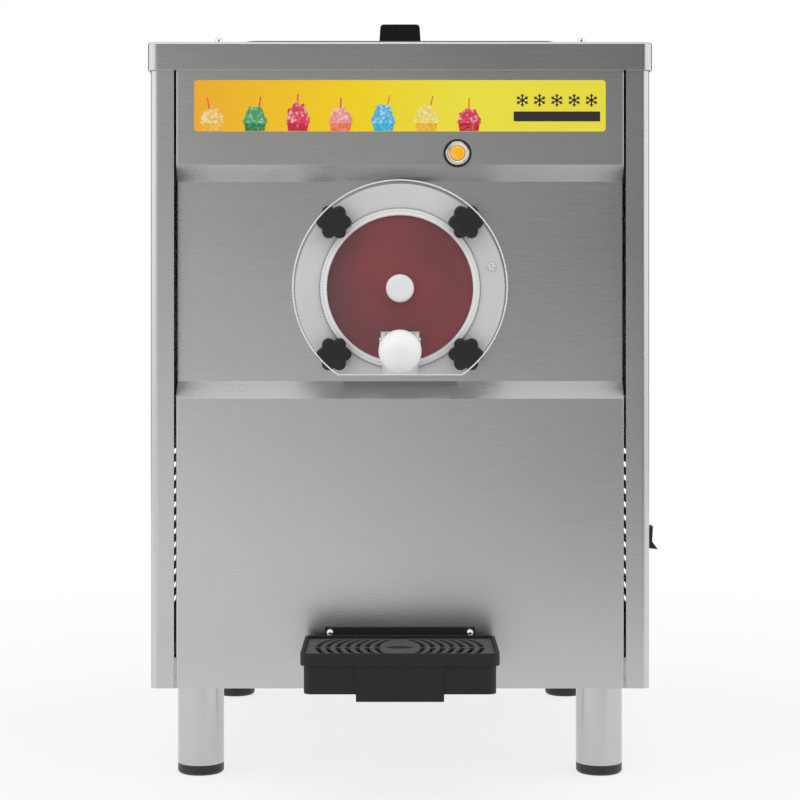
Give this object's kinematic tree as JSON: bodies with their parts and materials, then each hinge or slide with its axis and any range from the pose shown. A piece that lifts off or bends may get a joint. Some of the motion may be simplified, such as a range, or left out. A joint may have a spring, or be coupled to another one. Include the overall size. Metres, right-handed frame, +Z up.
{
  "type": "frozen drink dispenser",
  "caption": "Counter-top frozen drink and soft ice maker: steel cabinet on legs, barrel faceplate with knobs, ball lever, lidded hopper and drip tray.",
  "frame": {"origin": "on the surface it stands on, at the middle of the overall box", "axes": "+Z up, the faceplate, lever and drip tray look along -Y, +X to the right of someone facing it"},
  "size_m": [0.4536, 0.643, 0.701],
  "materials": {
    "stainless": "brushed stainless sheet",
    "stainless_cover": "brushed stainless sheet, polished edge",
    "stainless_food": "satin stainless for food",
    "galvanised": "galvanised sheet",
    "black_plastic": "moulded, fine matt grain",
    "tray_plastic": "moulded, satin",
    "grille_plastic": "moulded, satin grey",
    "white_plastic": "moulded, satin",
    "plate_plastic": "moulded, semi-gloss",
    "window_tint": "deep red tinted acrylic",
    "black_rubber": "matt",
    "white_rubber": "food seal, matt",
    "copper": "copper tube, dull",
    "foam": "closed foam",
    "label_yellow": "plain, semi-gloss",
    "amber_lens": "clear amber, gloss",
    "chrome": "polished",
    "machine_black": "black enamel",
    "machine_grey": "cast, painted grey",
    "fin_aluminium": "thin fins"
  },
  "bodies": {
    "cabinet": {"base_pan": "galvanised", "side_frames": "galvanised", "front_panel": "stainless", "left_side_panel": "stainless", "right_side_panel": "stainless", "rear_panel": "stainless", "top_cover": "stainless_cover", "dome_screws": "chrome", "legs": "stainless_cover", "feet": "black_rubber", "component_shelf": "galvanised", "label_plate": "label_yellow", "hopper": "stainless_food", "hopper_gasket": "white_rubber", "barrel": "stainless_food", "evaporator_coil": "copper", "barrel_insulation": "foam", "shaft_seal": "black_rubber", "gearmotor": "machine_grey", "gearmotor_bracket": "galvanised", "faceplate_studs": "chrome", "switch_bezel": "black_plastic", "indicator_bezel": "chrome", "indicator_lens": "amber_lens", "control_box": "galvanised", "cord_gland": "black_plastic", "compressor": "machine_black", "condenser": "fin_aluminium", "fan_shroud": "machine_black", "fan_motor": "machine_grey", "filter_drier": "copper", "refrigerant_lines": "copper", "tray_bracket": "black_plastic"},
    "beater": {"beater": "stainless_food", "scraper_blades": "white_plastic", "drive_coupling": "chrome"},
    "fan": {"fan_blade": "fin_aluminium"},
    "lid": {"hopper_lid": "black_plastic", "lid_handle": "black_plastic"},
    "feed_tube": {"feed_tube": "white_plastic"},
    "faceplate": {"faceplate": "plate_plastic", "sight_window": "window_tint", "centre_cap": "white_plastic", "locating_pin": "chrome", "barrel_seal": "black_rubber", "knob_washers": "chrome", "lever_pin": "chrome", "lever_spring": "chrome"},
    "upper_left_knob": {"upper_left_knob": "black_plastic"},
    "upper_right_knob": {"upper_right_knob": "black_plastic"},
    "lower_left_knob": {"lower_left_knob": "black_plastic"},
    "lower_right_knob": {"lower_right_knob": "black_plastic"},
    "lever": {"dispense_lever": "stainless_food", "lever_ball": "white_plastic"},
    "plunger": {"valve_plunger": "white_plastic", "plunger_seals": "black_rubber"},
    "drip_tray": {"drip_tray": "tray_plastic"},
    "drip_grille": {"drip_grille": "grille_plastic"},
    "rocker": {"power_rocker": "black_plastic"}
  },
  "joints": [
    {"name": "beater_spin", "type": "hinge", "parent": "cabinet", "child": "beater", "pos_m": [0, 0, 0.434], "axis": [0, 1, 0], "continuous": true},
    {"name": "fan_spin", "type": "hinge", "parent": "cabinet", "child": "fan", "pos_m": [-0.13, -0.0225, 0.205], "axis": [1, 0, 0], "continuous": true},
    {"name": "lid_lift", "type": "slide", "parent": "cabinet", "child": "lid", "axis": [0, 0, 1], "range_m": [0, 0.15]},
    {"name": "feed_tube_lift", "type": "slide", "parent": "cabinet", "child": "feed_tube", "axis": [0, 0, 1], "range_m": [0, 0.03]},
    {"name": "faceplate_pull", "type": "slide", "parent": "cabinet", "child": "faceplate", "axis": [0, -1, 0], "range_m": [0, 0.06]},
    {"name": "lever_tip", "type": "hinge", "parent": "faceplate", "child": "lever", "pos_m": [0, -0.2545, 0.388], "axis": [1, 0, 0], "range_deg": [0, 22], "stiffness_Nm_per_rad": 0.12, "springref_deg": -28.65},
    {"name": "plunger_lift", "type": "slide", "parent": "faceplate", "child": "plunger", "axis": [0, 0, 1], "range_m": [0, 0.0136]},
    {"name": "drip_tray_pull", "type": "slide", "parent": "cabinet", "child": "drip_tray", "axis": [0, -1, 0], "range_m": [0, 0.12]},
    {"name": "grille_lift", "type": "slide", "parent": "drip_tray", "child": "drip_grille", "axis": [0, 0, 1], "range_m": [0, 0.06]},
    {"name": "rocker_tip", "type": "hinge", "parent": "cabinet", "child": "rocker", "pos_m": [0.2185, -0.1605, 0.209], "axis": [0, 1, 0], "range_deg": [0, 24]},
    {"name": "upper_left_knob_turn", "type": "hinge", "parent": "faceplate", "child": "upper_left_knob", "pos_m": [-0.0577, -0.22, 0.4917], "axis": [0, 1, 0], "continuous": true},
    {"name": "upper_right_knob_turn", "type": "hinge", "parent": "faceplate", "child": "upper_right_knob", "pos_m": [0.0577, -0.22, 0.4917], "axis": [0, 1, 0], "continuous": true},
    {"name": "lower_left_knob_turn", "type": "hinge", "parent": "faceplate", "child": "lower_left_knob", "pos_m": [-0.0577, -0.22, 0.3763], "axis": [0, 1, 0], "continuous": true},
    {"name": "lower_right_knob_turn", "type": "hinge", "parent": "faceplate", "child": "lower_right_knob", "pos_m": [0.0577, -0.22, 0.3763], "axis": [0, 1, 0], "continuous": true}
  ],
  "couplings": [
    {"joint": "plunger_lift", "follows": "lever_tip", "m_per_rad": 0.0351}
  ]
}
